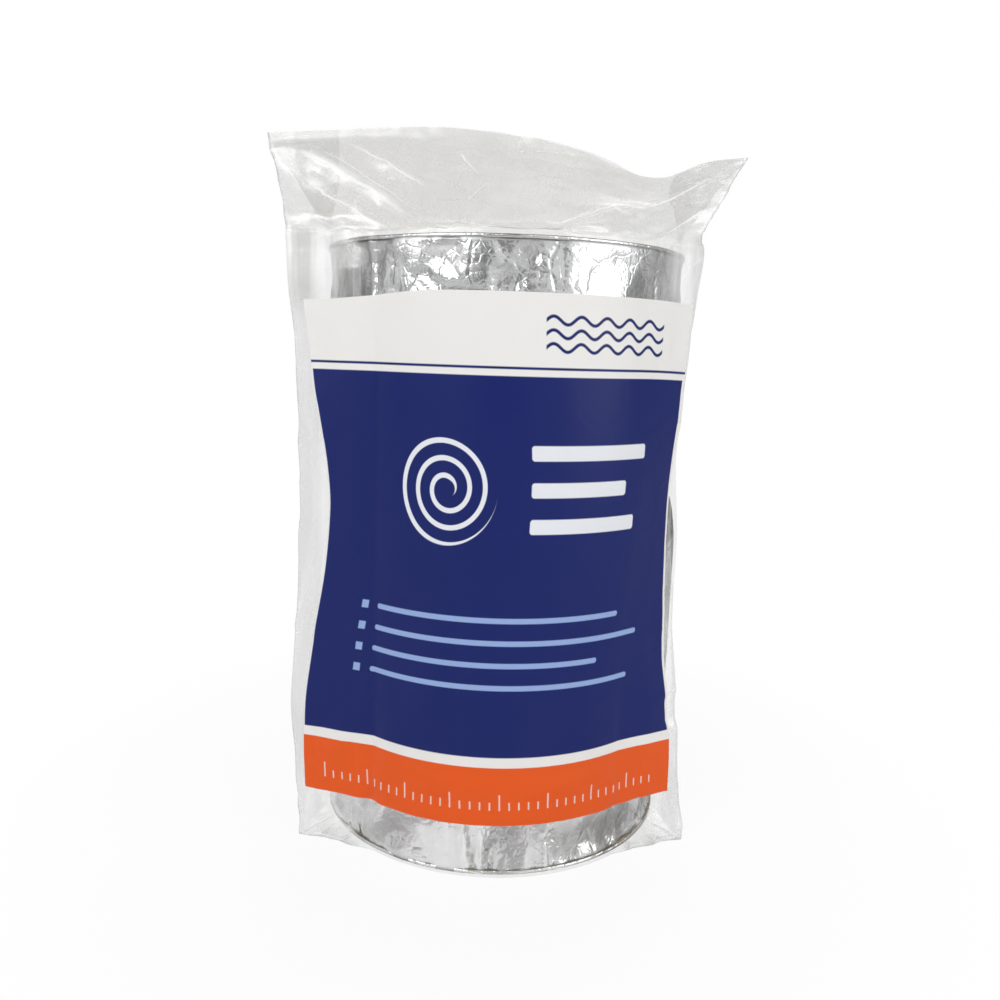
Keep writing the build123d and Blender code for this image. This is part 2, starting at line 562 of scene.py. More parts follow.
class Chart:
    """Places on the print: masks of plain shapes, from the film's own map in metres."""

    def __init__(self, tree, across, up):
        self.tree = tree
        self.across = across
        self.up = up
        self.blur = 0.25 * MM

    def over(self, value, level):
        """1 where the value is past the level, with an edge as soft as print."""
        return self.tree.node(
            "ShaderNodeMapRange",
            {"clamp": True},
            {"Value": value, "From Min": level - self.blur, "From Max": level + self.blur},
        )

    def rows(self, low, high):
        return self.over(self.up, low) - self.over(self.up, high)

    def box(self, left, right, low, high):
        return (self.over(self.across, left) - self.over(self.across, right)) * self.rows(low, high)

    def rounded(self, left, right, low, high, radius):
        """A box with round corners."""
        tree = self.tree
        middle_x, middle_y = (left + right) / 2, (low + high) / 2
        out_x = abs(self.across - middle_x) - ((right - left) / 2 - radius)
        out_y = abs(self.up - middle_y) - ((high - low) / 2 - radius)
        reach = tree.math(
            "SQRT", tree.math("MAXIMUM", out_x, 0.0) ** 2 + tree.math("MAXIMUM", out_y, 0.0) ** 2
        )
        inner = tree.math("MINIMUM", tree.math("MAXIMUM", out_x, out_y), 0.0)
        return 1 - self.over(reach + inner, radius)

    def distance(self, x, y):
        return self.tree.math("SQRT", (self.across - x) ** 2 + (self.up - y) ** 2)

    def either(self, *masks):
        result = masks[0]
        for mask in masks[1:]:
            result = self.tree.math("MAXIMUM", result, mask)
        return result


def draw_coil(chart, x, y, radius, line):
    """A plain sign of a roll seen from its end: a spiral of three turns."""
    tree = chart.tree
    from_middle = chart.distance(x, y)
    turn = tree.math("ARCTAN2", chart.up - y, chart.across - x) / tau
    pitch = radius / 3.6
    place = tree.math("FRACT", from_middle / pitch - turn + 8)
    stripe = 1 - chart.tree.step(abs(place - 0.5), line / pitch / 2 - 0.03, line / pitch / 2 + 0.03)
    ring = 1 - chart.over(from_middle, radius - pitch * 0.3)
    core = chart.over(from_middle, pitch * 0.55)
    return stripe * ring * core


def draw_waves(chart, left, right, low, high, line):
    """Three plain waves, one over another, as even in thickness as if drawn with a pen."""
    tree = chart.tree
    pitch = 14 * MM
    swing = 1.8 * MM
    spacing = (high - low) / 3
    turned = (chart.across - left) * (tau / pitch)
    wave = tree.math("SINE", turned) * swing
    slope = tree.math("COSINE", turned) * (swing * tau / pitch)
    off = chart.up - wave - low
    nearest = abs(tree.math("FRACT", off / spacing) - 0.5) * spacing
    reach = nearest / tree.math("SQRT", 1 + slope ** 2)
    banded = chart.over(off, 0.0) - chart.over(off, high - low)
    return (1 - chart.over(reach, line / 2)) * banded * chart.box(left, right, low - pitch, high + pitch)


def fine_creases(tree, place, bearing, scale, kept):
    """Straight creases as thin as a hair, all running one way, in loose groups."""
    turned = tree.node(
        "ShaderNodeVectorRotate",
        {"rotation_type": "Z_AXIS"},
        {"Vector": place, "Angle": radians(-bearing)},
    )
    threads = tree.noise(tree.scaled(turned, (0.05, 1.0, 1.0)), scale, 2.0, 0.6)
    groups = tree.noise(tree.scaled(turned, (0.7, 1.0, 1.0)), scale * 0.09, 2.0)
    return tree.step(threads, 0.60, 0.72) * tree.step(groups, kept, kept + 0.12)


def thin_creases(tree, across, up):
    """The gable's creases as thin lines, broken here and there."""
    drawn = 0
    for start, end, _, lift in GABLE_CREASES:
        (x, y), (end_x, end_y) = [(u * GABLE_FRONT[0], v * GABLE_FRONT[1]) for u, v in (start, end)]
        length = ((end_x - x) ** 2 + (end_y - y) ** 2) ** 0.5
        run_x, run_y = (end_x - x) / length, (end_y - y) / length
        along = (across - x) * run_x + (up - y) * run_y
        off = abs((across - x) * run_y - (up - y) * run_x)
        taper = tree.step(along, 0.0, length * 0.3) * (1 - tree.step(along, length * 0.6, length))
        line = (1 - tree.step(off, 0.2 * MM, (0.5 + 1.2 * lift) * MM)) * taper * (0.6 + 0.4 * lift)
        drawn = tree.math("MAXIMUM", line, drawn)
    return drawn


def draw_print(tree, chart, sizes):
    """The print: where its ink lies, and the ink's colour."""
    left, right = sizes.print_left, sizes.print_right
    hanging = (1 - tree.step(chart.across, left, left + 80 * MM)) * 4.5 * MM
    inked = chart.box(left, right, sizes.print_foot, sizes.print_head)
    inked = inked * (1 - chart.over(chart.up + hanging, sizes.print_head))
    line = 2.6 * MM
    field = chart.box(left + 0.7 * MM, right - 1.6 * MM, sizes.field_foot + line, sizes.field_top)
    band = chart.rows(0.0, sizes.field_foot - line)
    pale = colour4(sizes.header_colour)
    colour = tree.mix(field, pale, colour4(sizes.field_colour))
    colour = tree.mix(band, colour, colour4(sizes.band_colour))

    # The header: a thin rule in the field's colour, and a few plain waves
    rule = chart.box(left, right, sizes.field_top + 3.0 * MM, sizes.field_top + 4.2 * MM)
    low = sizes.field_top + 10 * MM
    waves = draw_waves(chart, left + 126 * MM, left + 196 * MM, low, low + 18 * MM, 1.5 * MM)
    colour = tree.mix(chart.either(rule, waves), colour, colour4(sizes.field_colour))

    # The field: the sign of a roll in white with plain bars beside it, and short rules with square bullets
    coil = draw_coil(chart, left + 74 * MM, 192 * MM, 29 * MM, 2.4 * MM)
    bars = []
    for k, length in enumerate((70, 56, 64)):
        top = 213 * MM - k * 17 * MM
        bars.append(chart.rounded(left + 118 * MM, left + (118 + length) * MM, top - 7 * MM, top, 1.5 * MM))
    colour = tree.mix(chart.either(coil, *bars), colour, (0.80, 0.82, 0.86, 1))
    lines = []
    for k, length in enumerate((140, 156, 128, 150)):
        top = 132 * MM - k * 11 * MM
        lines.append(chart.rounded(left + 36 * MM, left + (36 + length) * MM, top - 2.6 * MM, top, 1.2 * MM))
        lines.append(chart.box(left + 26 * MM, left + 30 * MM, top - 3.3 * MM, top + 0.7 * MM))
    colour = tree.mix(chart.either(*lines), colour, colour4(sizes.tint_colour))

    # The footer: a row of plain ticks, as on a rule, with each fifth one longer
    ticks = []
    for spacing, top in ((5 * MM, 40 * MM), (25 * MM, 44 * MM)):
        off = abs(tree.math("FRACT", (chart.across - left) / spacing) - 0.5) * spacing
        reach = chart.box(left + 10 * MM, right - 10 * MM, 36 * MM, top)
        ticks.append((1 - chart.over(off, 0.35 * MM)) * reach)
    colour = tree.mix(chart.either(*ticks) * 0.8, colour, pale)
    return inked, colour


def make_film(sizes):
    """Clear film, cloudy and scuffed where it is creased, whitened along its creases partly as a painted
    highlight, with opaque glossy print at the front.
    """
    material, tree = new_material("printed_film")
    chart_place = tree.node("ShaderNodeUVMap", {"uv_map": "film"})
    split = tree.data.nodes.new("ShaderNodeSeparateXYZ")
    tree.feed(split.inputs[0], chart_place)
    chart = Chart(tree, Value(tree, split.outputs["X"]), Value(tree, split.outputs["Y"]))
    inked, print_colour = draw_print(tree, chart, sizes)

    # The film between and around the print: hazier where it stands loose, with scuffs and white crease lines,
    # whose white is partly the film's own whitening at folds and partly a painted highlight
    place = tree.node("ShaderNodeTexCoord", output="Object")
    crease = tree.attribute("crease")
    loose = tree.attribute("loose")
    milky = tree.attribute("milky")
    cloud = tree.noise(place, 16.0, 3.0, 0.55)
    streaks = tree.noise(tree.scaled(chart_place, (1.0, 0.06, 1.0)), 110.0, 2.0)
    scuffs = tree.noise(tree.scaled(chart_place, (1.0, 0.22, 1.0)), 200.0, 3.0, 0.6, 0.4)
    scuffed = tree.step(scuffs, 0.62, 0.76)
    hairs = 0
    for bearing, scale, kept in ((157, 300.0, 0.56), (22, 330.0, 0.56), (100, 360.0, 0.60)):
        hairs = fine_creases(tree, chart_place, bearing, scale, kept) + hairs
    hairs = tree.math("MINIMUM", hairs, 1.0) * loose
    wobble = tree.noise(place, 60.0, 2.0) * 3 * MM
    thin = thin_creases(tree, tree.attribute("gable_x") + wobble, tree.attribute("gable_y") + wobble)
    thin = thin * tree.step(cloud, 0.30, 0.50)
    folded = tree.math("MAXIMUM", tree.step(crease, 0.12, 0.90), tree.math("MAXIMUM", hairs * 0.25, thin))
    haze = 0.09 + cloud * 0.06 + loose * (0.08 + streaks * 0.10 + cloud * 0.10) + milky * 0.42
    haze = haze + scuffed * 0.03 + folded * 0.50
    alpha = tree.math("MINIMUM", tree.math("MAXIMUM", haze, inked), 1.0)
    clear = 1 - inked
    milk = tree.mix(tree.step(streaks, 0.42, 0.58), (0.72, 0.72, 0.71, 1), (0.93, 0.93, 0.93, 1))
    tinted = tree.mix(tree.step(loose, 0.60, 1.0), milk, colour4(sizes.film_colour))
    # Whiter along the creases: partly whitening of folded film, partly a painted highlight where the creases
    # would catch the light
    whitened_and_highlit = tree.mix(folded, tinted, (0.97, 0.97, 0.97, 1))
    smear = tree.noise(place, 55.0, 2.0, 0.5, 0.8)
    tree.principled(
        {
            "Base Color": tree.mix(inked, whitened_and_highlit, print_colour),
            "Metallic": clear * (1 - folded) * (1 - milky) * 0.55,
            "Roughness": 0.13 + inked * 0.16 + loose * 0.14 + cloud * 0.08,
            "Specular IOR Level": 0.22,
            "Alpha": alpha,
            "Normal": tree.bump(smear, 0.0005, 0.7),
        }
    )
    return material


# The roll


def outer_turn(turn, sizes):
    """Radius of the outermost foil, by turns round from the lap."""
    return ROLL_RADIUS - sizes.lap_step * np.maximum(0.0, turn - 0.5) * 2


def wrapping(turn, sizes):
    """Direction from the axis, in radians from +X, by turns from the lap."""
    return radians(sizes.lap_bearing - 90) + turn * tau


def pleat_reach(kind, height, random):
    """From where to where a pleat runs up the foil: free of both edges, or in from one of them."""
    if kind == "free":
        low = random.uniform(-10 * MM, height - 80 * MM)
        return low, low + random.uniform(50 * MM, 120 * MM)
    if kind == "foot":
        return -6 * MM, 51 * MM + random.uniform(-20 * MM, 40 * MM)
    return height - 51 * MM + random.uniform(-40 * MM, 20 * MM), height + 6 * MM


def foil_relief(columns, rows, height):
    """How far the foil is pushed in at each point of its sheet, from crumpling and from pleats."""
    width = tau * ROLL_RADIUS
    sheet = (width, height, columns, rows)
    relief = facets(*sheet, 34 * MM, 2.6 * MM, 11, 1.5)
    relief += facets(*sheet, 15 * MM, 1.9 * MM, 12, 1.3)
    where = facets(*sheet, 45 * MM, 1.0, 14)
    relief += facets(*sheet, 7 * MM, 1.2 * MM, 13) * smoothstep(where, -0.5, 0.3)
    where = facets(*sheet, 28 * MM, 1.0, 17)
    relief += facets(*sheet, 4.5 * MM, 0.35 * MM, 16) * smoothstep(where, -0.1, 0.5)
    x, z = np.meshgrid(np.arange(columns) * width / columns, np.linspace(0, height, rows))
    random = np.random.default_rng(15)
    for kind, count in (("free", 22), ("foot", 20), ("head", 20)):
        for _ in range(count):
            middle = random.uniform(0, width)
            low, high = pleat_reach(kind, height, random)
            lean = random.uniform(-0.12, 0.12)
            pleat_width = random.uniform(1.6, 4.2) * MM
            depth = random.uniform(0.7, 2.0) * MM
            shifted = (x - middle - lean * (z - low) + width / 2) % width
            relief += depth * ridge(shifted, z, (width / 2, low), (width / 2, high), pleat_width, 0.15)
    return relief


def make_facing(sizes, material):
    """The strip's outermost turn of foil, with its lap, its crumples and its edges curled over the wool."""
    columns, rows = 404, 200
    low = ROLL_LOW.z + 0.5 * MM
    high = ROLL_HIGH.z - sizes.swell
    relief = foil_relief(columns, rows, high - low)
    relief = np.minimum(relief - np.percentile(relief, 84), 0.3 * MM)
    from_edge = np.minimum(np.arange(rows), np.arange(rows)[::-1]) * (high - low) / (rows - 1)
    relief *= (0.55 + 0.45 * smoothstep(from_edge, 0, 6 * MM))[:, None]
    turn = np.arange(columns) / (columns - 1)
    z = np.repeat(np.linspace(low, high, rows)[:, None], columns, axis=1)
    angle = wrapping(turn, sizes)
    swollen = swelling((np.degrees(angle) + 90) % 360, z)
    radius = outer_turn(turn, sizes)[None, :] + relief * (1 - swollen) + (SWELL + 0.4 * MM) * swollen

    # Both edges curl in over the wool: how far in, and how far past the edge
    curls = ((0.4 * MM, 0.25 * MM), (1.1 * MM, 0.1 * MM), (1.8 * MM, -0.3 * MM))
    top = [(radius[-1] - back, z[-1] + rise) for back, rise in curls]
    foot = [(radius[0] - back, z[0] - rise) for back, rise in reversed(curls)]
    radius = np.vstack([part[0] for part in foot] + [radius] + [part[0] for part in top])
    z = np.vstack([part[1] for part in foot] + [z] + [part[1] for part in top])
    points = np.stack((radius * np.cos(angle), radius * np.sin(angle), z), axis=-1)
    made = sheet_object("foil_facing", points, material)

    # Its material reads how deep each point is dented, for painted shade in the dents, how sharply it is
    # creased, for a painted highlight on the ridges, and the rim, for painted shade along both edges
    ends = ((len(foot), len(top)), (0, 0))
    dent_shade = np.pad(np.clip(-relief / (4.5 * MM), 0, 1), ends, mode="edge")
    crease = np.pad(np.clip(sharpness(relief[..., None]) / (0.924 * MM), 0, 1), ends, mode="edge")
    at_edge = 1 - smoothstep(from_edge, 0.4 * MM, 1.8 * MM)
    rim = np.pad(np.repeat(at_edge[:, None], columns, 1), ends, mode="edge")
    keep_values(made, {"dent_shade": dent_shade, "crease": crease, "rim": rim})
    return made


def spiral_radius(tree, turn, turns, bore, lap):
    """Radius of the foil line, by turns inward from the lap."""
    under_lap = ROLL_RADIUS - lap
    outermost = ROLL_RADIUS - lap * tree.math("MAXIMUM", turn - 0.5, 0.0) * 2
    inner = under_lap - (turn - 1) * (under_lap - bore) / (turns - 1)
    chosen = tree.node(
        "GeometryNodeSwitch",
        {"input_type": "FLOAT"},
        {"Switch": tree.math("LESS_THAN", turn, 1.0), "False": inner, "True": outermost},
    )
    return tree.math("MAXIMUM", chosen, bore)


def place_on_spiral(tree, geometry, turn, radius, height, lap_angle, slack):
    """Moves points to their place about the axis, pushed a little off the true spiral by uneven winding."""
    angle = turn * tau + lap_angle
    direction = tree.node(
        "ShaderNodeCombineXYZ", None, {"X": tree.math("COSINE", angle), "Y": tree.math("SINE", angle)}
    )
    uneven = tree.noise(
        tree.node("ShaderNodeVectorMath", {"operation": "SCALE"}, {0: direction, "Scale": radius}), 55.0, 1.0
    )
    inside = tree.step(ROLL_RADIUS - radius, 0.0, 8 * MM)
    pushed = radius + (uneven - 0.5) * slack * inside
    flat = tree.node("ShaderNodeVectorMath", {"operation": "SCALE"}, {0: direction, "Scale": pushed})
    raised = tree.node("ShaderNodeCombineXYZ", None, {"Z": height})
    place = tree.node("ShaderNodeVectorMath", {"operation": "ADD"}, {0: flat, 1: raised})
    return tree.node("GeometryNodeSetPosition", None, {"Geometry": geometry, "Position": place})


COIL_SOCKETS = (
    ("Turns", "NodeSocketFloat"),
    ("Bore", "NodeSocketFloat"),
    ("Lap step", "NodeSocketFloat"),
    ("Lap angle", "NodeSocketFloat"),
    ("Swell", "NodeSocketFloat"),
    ("Slack", "NodeSocketFloat"),
    ("Material", "NodeSocketMaterial"),
)


def coil_inputs(sizes, material):
    """What the coil's trees are given."""
    return {
        "Turns": float(sizes.turns),
        "Bore": sizes.bore,
        "Lap step": sizes.lap_step,
        "Lap angle": wrapping(0.0, sizes),
        "Swell": sizes.swell,
        "Slack": 2.2 * MM,
        "Material": material,
    }


def grow(name, group, values):
    """Runs a geometry tree on an empty mesh and keeps what comes out as a plain mesh."""
    seed = bpy.data.objects.new(name + "_seed", bpy.data.meshes.new(name + "_seed"))
    bpy.context.scene.collection.objects.link(seed)
    modifier = seed.modifiers.new("grow", "NODES")
    modifier.node_group = group
    for item in group.interface.items_tree:
        if item.in_out == "INPUT":
            modifier[item.identifier] = values[item.name]
    bpy.context.view_layer.update()
    graph = bpy.context.evaluated_depsgraph_get()
    mesh = bpy.data.meshes.new_from_object(seed.evaluated_get(graph))
    seed.modifiers.remove(modifier)
    bpy.data.objects.remove(seed)
    mesh.name = name
    made = bpy.data.objects.new(name, mesh)
    bpy.context.scene.collection.objects.link(made)
    return made


def open_coil_tree(name):
    """A geometry tree with the coil's sizes as its inputs."""
    group = bpy.data.node_groups.new(name, "GeometryNodeTree")
    for title, kind in COIL_SOCKETS:
        group.interface.new_socket(title, in_out="INPUT", socket_type=kind)
    group.interface.new_socket("Geometry", in_out="OUTPUT", socket_type="NodeSocketGeometry")
    tree = Tree(group)
    entry = group.nodes.new("NodeGroupInput")
    given = {title: Value(tree, entry.outputs[title]) for title, _ in COIL_SOCKETS}
    return group, tree, given


def close_coil_tree(tree, group, geometry, given):
    """Joined, made real and given its material."""
    real = tree.node("GeometryNodeRealizeInstances", None, {"Geometry": geometry})
    done = tree.node("GeometryNodeSetMaterial", None, {"Geometry": real, "Material": given["Material"]})
    exit_node = group.nodes.new("NodeGroupOutput")
    tree.feed(exit_node.inputs["Geometry"], done)


def join(tree, parts):
    made = tree.data.nodes.new("GeometryNodeJoinGeometry")
    for part in parts:
        tree.data.links.new(part.socket, made.inputs[0])
    return Value(tree, made.outputs[0])


def make_edges(sizes, material):
    """The foil's edge between the turns of wool, on both ends of the roll."""
    group, tree, given = open_coil_tree("foil_edge_lines")
    per_turn = 90
    count = tree.math("ROUND", given["Turns"] * per_turn + 1)
    ends = []
    for level, inward in ((ROLL_HIGH.z, -1), (ROLL_LOW.z, 1)):
        line = tree.node(
            "GeometryNodeMeshLine", {"mode": "OFFSET"}, {"Count": count, "Offset": (MM, 0.0, 0.0)}
        )
        turn = tree.node("GeometryNodeInputIndex") / per_turn
        radius = spiral_radius(tree, turn, given["Turns"], given["Bore"], given["Lap step"])
        wander = tree.noise(tree.node("GeometryNodeInputPosition"), 260.0, 2.0)
        height = level + inward * (given["Swell"] * 0.62 + (wander - 0.5) * 0.9 * MM)
        radius = radius - 0.15 * MM
        placed = place_on_spiral(tree, line, turn, radius, height, given["Lap angle"], given["Slack"])
        curve = tree.node("GeometryNodeMeshToCurve", None, {"Mesh": placed})
        profile = tree.node(
            "GeometryNodeCurvePrimitiveQuadrilateral",
            None,
            {"Width": 0.22 * MM, "Height": 1.7 * MM},
        )
        ends.append(tree.node("GeometryNodeCurveToMesh", None, {"Curve": curve, "Profile Curve": profile}))
    close_coil_tree(tree, group, join(tree, ends), given)
    return grow("foil_edges", group, coil_inputs(sizes, material))


def make_wool_ends(sizes, material):
    """The swollen wool between the turns on both ends, and the lining of the bore."""
    group, tree, given = open_coil_tree("wool_spirals")
    steps_per_turn, steps_across = 120, 9
    parts = []
    for level, inward in ((ROLL_HIGH.z, -1), (ROLL_LOW.z, 1)):
        strip = tree.node(
            "GeometryNodeMeshGrid",
            None,
            {
                "Size X": 1.0,
                "Size Y": 1.0,
                "Vertices X": tree.math("ROUND", given["Turns"] * steps_per_turn + 1),
                "Vertices Y": steps_across,
            },
        )
        corner = tree.data.nodes.new("ShaderNodeSeparateXYZ")
        tree.feed(corner.inputs[0], tree.node("GeometryNodeInputPosition"))
        turn = (Value(tree, corner.outputs["X"]) + 0.5) * given["Turns"]
        share = Value(tree, corner.outputs["Y"]) + 0.5
        outside = spiral_radius(tree, turn, given["Turns"], given["Bore"], given["Lap step"])
        inside = spiral_radius(tree, turn + 1, given["Turns"], given["Bore"], given["Lap step"])
        radius = outside - share * (outside - inside)
        bulge = tree.math("SQRT", tree.math("MAXIMUM", share * (1 - share) * 4, 0.0))
        lumps = tree.noise(
            tree.node("ShaderNodeCombineXYZ", None, {"X": turn * 9.0, "Y": share * 0.9, "Z": level * 50}),
            1.0, 3.0, 0.6,
        )
        height = level + inward * given["Swell"] * (1 - bulge * (0.62 + lumps * 0.55))
        placed = place_on_spiral(tree, strip, turn, radius, height, given["Lap angle"], given["Slack"])
        if inward > 0:
            placed = tree.node("GeometryNodeFlipFaces", None, {"Mesh": placed})
        parts.append(placed)
    bore = tree.node(
        "GeometryNodeMeshCylinder",
        {"fill_type": "NONE"},
        {
            "Vertices": 60,
            "Side Segments": 60,
            "Radius": given["Bore"],
            "Depth": ROLL_HIGH.z - ROLL_LOW.z - given["Swell"] * 2,
        },
    )
    raised = tree.node(
        "GeometryNodeTransform",
        None,
        {"Geometry": bore, "Translation": (0.0, 0.0, (ROLL_HIGH.z + ROLL_LOW.z) / 2)},
    )
    parts.append(tree.node("GeometryNodeFlipFaces", None, {"Mesh": raised}))
    close_coil_tree(tree, group, join(tree, parts), given)
    return grow("wool_ends", group, coil_inputs(sizes, material))


# The bag


def half_spread(reach, stand_off):
    """How far round the roll a fold's two films run before they meet the roll, in degrees."""
    tangent = acos(reach / (reach + stand_off)) * 180 / pi
    return min(FOLD_SPREAD, TANGENT_SHARE * tangent)


def along_path(corners, shares):
    """Points at these shares of the length of a chain of straight runs."""
    corners = np.array(corners)
    gone = np.concatenate(([0], np.cumsum(np.linalg.norm(np.diff(corners, axis=0), axis=1))))
    wanted = np.asarray(shares) * gone[-1]
    return np.stack([np.interp(wanted, gone, corners[:, k]) for k in range(corners.shape[1])], axis=-1)


def soft_steps(value, places, levels):
    """A smooth line through a few levels."""
    places, levels = np.array(places), np.array(levels)
    k = np.clip(np.searchsorted(places, value, side="right") - 1, 0, len(places) - 2)
    share = np.clip((value - places[k]) / (places[k + 1] - places[k]), 0, 1)
    slope = np.gradient(levels, places)
    gap = places[k + 1] - places[k]
    return (
        levels[k] * (1 + 2 * share) * (1 - share) ** 2
        + levels[k + 1] * share ** 2 * (3 - 2 * share)
        + gap * slope[k] * share * (1 - share) ** 2
        - gap * slope[k + 1] * share ** 2 * (1 - share)
    )


def wrapped_panel(number, height, reach, shares):
    """A panel's film at one height: from one fold's edge to the roll, round it, and out to the next."""
    (bearing, offs), (next_bearing, next_offs) = FOLDS[number], FOLDS[(number + 1) % 4]
    if next_bearing < bearing:
        next_bearing += 360
    off = soft_steps(height, FOLD_HEIGHTS, offs) * MM
    next_off = soft_steps(height, FOLD_HEIGHTS, next_offs) * MM
    start = bearing + half_spread(reach, off)
    end = next_bearing - half_spread(reach, next_off)
    bearings = np.linspace(start, end, 60)
    arc = [polar(reach + SWELL * swelling(between, height), between) for between in bearings]
    return along_path([polar(reach + off, bearing), *arc, polar(reach + next_off, next_bearing)], shares)


def mouth_panel(kind, level, sizes, shares):
    """A panel's film in the flat mouth, level 0 at its base and 1 at its top edge."""
    left = -sizes.mouth_left - CORNER_LEANS[0] * level
    right = sizes.mouth_right + CORNER_LEANS[1] * level
    inner_left, inner_right = left + sizes.gusset, right - sizes.gusset
    y = -sizes.mouth_forward
    gap = 0.7 * MM
    paths = {
        "front": ((left, y - gap), (right, y - gap)),
        "right": ((right, y - gap), (inner_right, y), (right, y + gap)),
        "back": ((right, y + gap), (left, y + gap)),
        "left": ((left, y + gap), (inner_left, y), (left, y - gap)),
    }
    flat = along_path(paths[kind], shares)
    edge_x, edge_rise = np.array(MOUTH_EDGE).T
    rise = soft_steps(flat[:, 0], edge_x, edge_rise)
    z = sizes.headroom + ROLL_HIGH.z + SOLID_FILM + level * rise
    return np.column_stack((flat, z))


# The film's panels with their columns of points, the column where the front begins, and its rows
PANELS = (("front", 124), ("right", 68), ("back", 124), ("left", 68))
CORNER_LEFT = 128
CORNER_RIGHT = CORNER_LEFT + PANELS[0][1]
UNDER_ROWS, SLEEVE_ROWS, GABLE_ROWS = 12, 160, 65
RIM_ROW = UNDER_ROWS + SLEEVE_ROWS

# The film settles as every fourth point of its grid, over this many steps
COARSE = 4
SETTLING_STEPS = 30

# The film as one sheet, for its rumples, and how far its lowest layer lies over the floor
RUMPLED_SHEET = (725 * MM, 470 * MM)
OVER_FLOOR = 0.15 * MM


def film_shape(sizes):
    """The film's smooth shape as rows of points, from the weld under the roll up to the mouth's edge."""
    reach = ROLL_RADIUS + sizes.clearance
    rim = ROLL_HIGH.z + sizes.clearance
    shares = [np.arange(count) / count for _, count in PANELS]

    def sleeve(height):
        flat = np.vstack([wrapped_panel(k, height, reach, shares[k]) for k in range(4)])
        return np.column_stack((flat, np.full(len(flat), height)))

    def mouth(level):
        return np.vstack([mouth_panel(kind, level, sizes, shares[k]) for k, (kind, _) in enumerate(PANELS)])

    foot = sleeve(0.0)
    foot[:, 2] = OVER_FLOOR
    weld = np.column_stack((foot[:, 0] * 0.55, foot[:, 1] * 0.02, foot[:, 2]))
    rows = [foot * (1 - share) + weld * share for share in np.linspace(1, 0, UNDER_ROWS, endpoint=False)]
    rows += [sleeve(height) for height in np.linspace(OVER_FLOOR, rim, SLEEVE_ROWS, endpoint=False)]
    rim_row, knee, edge = sleeve(rim), mouth(0.0), mouth(1.0)

    # Up each line of the gable: a curve that leaves the rim upright and leans in to the mouth's edge
    shoulder = rim_row + (0, 0, sizes.shoulder)
    bend = knee * 0.72 + (rim_row + edge) * 0.14
    for share in np.linspace(0, 1, GABLE_ROWS):
        left = 1 - share
        early = rim_row * left ** 3 + shoulder * 3 * left ** 2 * share
        rows.append(early + bend * 3 * left * share ** 2 + edge * share ** 3)
    return np.roll(np.array(rows), CORNER_LEFT, axis=1)


def refine(points):
    """The same sheet with a new point between each two, on a smooth line through their neighbours."""

    def halfway(grid):
        return (9 * (grid[1:-2] + grid[2:-1]) - grid[:-3] - grid[3:]) / 16

    closed = np.concatenate((points[:, -1:], points, points[:, :2]), axis=1).swapaxes(0, 1)
    finer = np.empty((points.shape[1] * 2, points.shape[0], 3))
    finer[0::2] = points.swapaxes(0, 1)
    finer[1::2] = halfway(closed)
    points = finer.swapaxes(0, 1)
    ended = np.concatenate((2 * points[:1] - points[1:2], points, 2 * points[-1:] - points[-2:-1]))
    finer = np.empty((points.shape[0] * 2 - 1, points.shape[1], 3))
    finer[0::2] = points
    finer[1::2] = halfway(ended)
    return finer


def normals_of(points):
    """Outward normals of a grid of points whose rows close on themselves."""
    around = np.roll(points, -1, axis=1) - np.roll(points, 1, axis=1)
    up = np.gradient(points, axis=0)
    normal = np.cross(around, up)
    length = np.linalg.norm(normal, axis=-1, keepdims=True)
    return normal / np.maximum(length, 1e-12)


def chart_of(points, sizes):
    """The film laid flat, in metres: along it, with the print's edges in place, and up from the floor."""
    closed = np.concatenate((points, points[:, :1]), axis=1)
    along = np.linalg.norm(np.diff(closed, axis=1), axis=-1)
    along = np.concatenate((np.zeros((len(points), 1)), np.cumsum(along, axis=1)), axis=1)
    heights, lefts, rights = np.array(PRINT_MARGINS).T * MM
    level = closed[:, CORNER_LEFT, 2]
    start = along[:, CORNER_LEFT] + soft_steps(level, heights, lefts)
    end = along[:, CORNER_RIGHT] - soft_steps(level, heights, rights)
    share = (along - start[:, None]) / (end - start)[:, None]
    across = sizes.print_left + share * (sizes.print_right - sizes.print_left)
    rise = np.linalg.norm(np.diff(closed, axis=0), axis=-1)
    up = np.concatenate((np.zeros((1, closed.shape[1])), np.cumsum(rise, axis=0)), axis=0)
    up -= up[UNDER_ROWS : UNDER_ROWS + 1]
    return np.stack((across, up), axis=-1)


def sharpness(points):
    """How sharply the sheet bends at each point, by its distance from the middle of its neighbours."""
    padded = np.concatenate((points[:1], points, points[-1:]), axis=0)
    around = (np.roll(points, 1, axis=1) + np.roll(points, -1, axis=1)) / 2 - points
    up = (padded[:-2] + padded[2:]) / 2 - points
    up[0] = up[-1] = 0
    return np.linalg.norm(around, axis=-1) + np.linalg.norm(up, axis=-1)


def make_former():
    """What the film settles on: the roll as a smooth closed drum, for the simulation only."""
    sides = 96
    radius = ROLL_RADIUS - 0.2 * MM
    rings = ((1 * MM, 0.0), (radius, 0.0), (radius, ROLL_HIGH.z), (1 * MM, ROLL_HIGH.z))
    angles = np.arange(sides) * tau / sides
    points = [(r * cos(a), r * sin(a), z) for r, z in rings for a in angles]
    faces = []
    for ring in range(len(rings) - 1):
        for k in range(sides):
            beside = (k + 1) % sides
            low, high = ring * sides, (ring + 1) * sides
            faces.append((low + k, low + beside, high + beside, high + k))
    mesh = bpy.data.meshes.new("former")
    mesh.from_pydata(points, [], faces)
    former = bpy.data.objects.new("former", mesh)
    bpy.context.scene.collection.objects.link(former)
    collision = former.modifiers.new("collision", "COLLISION")
    collision.settings.thickness_outer = 0.5 * MM
    collision.settings.cloth_friction = 2.0
    return former


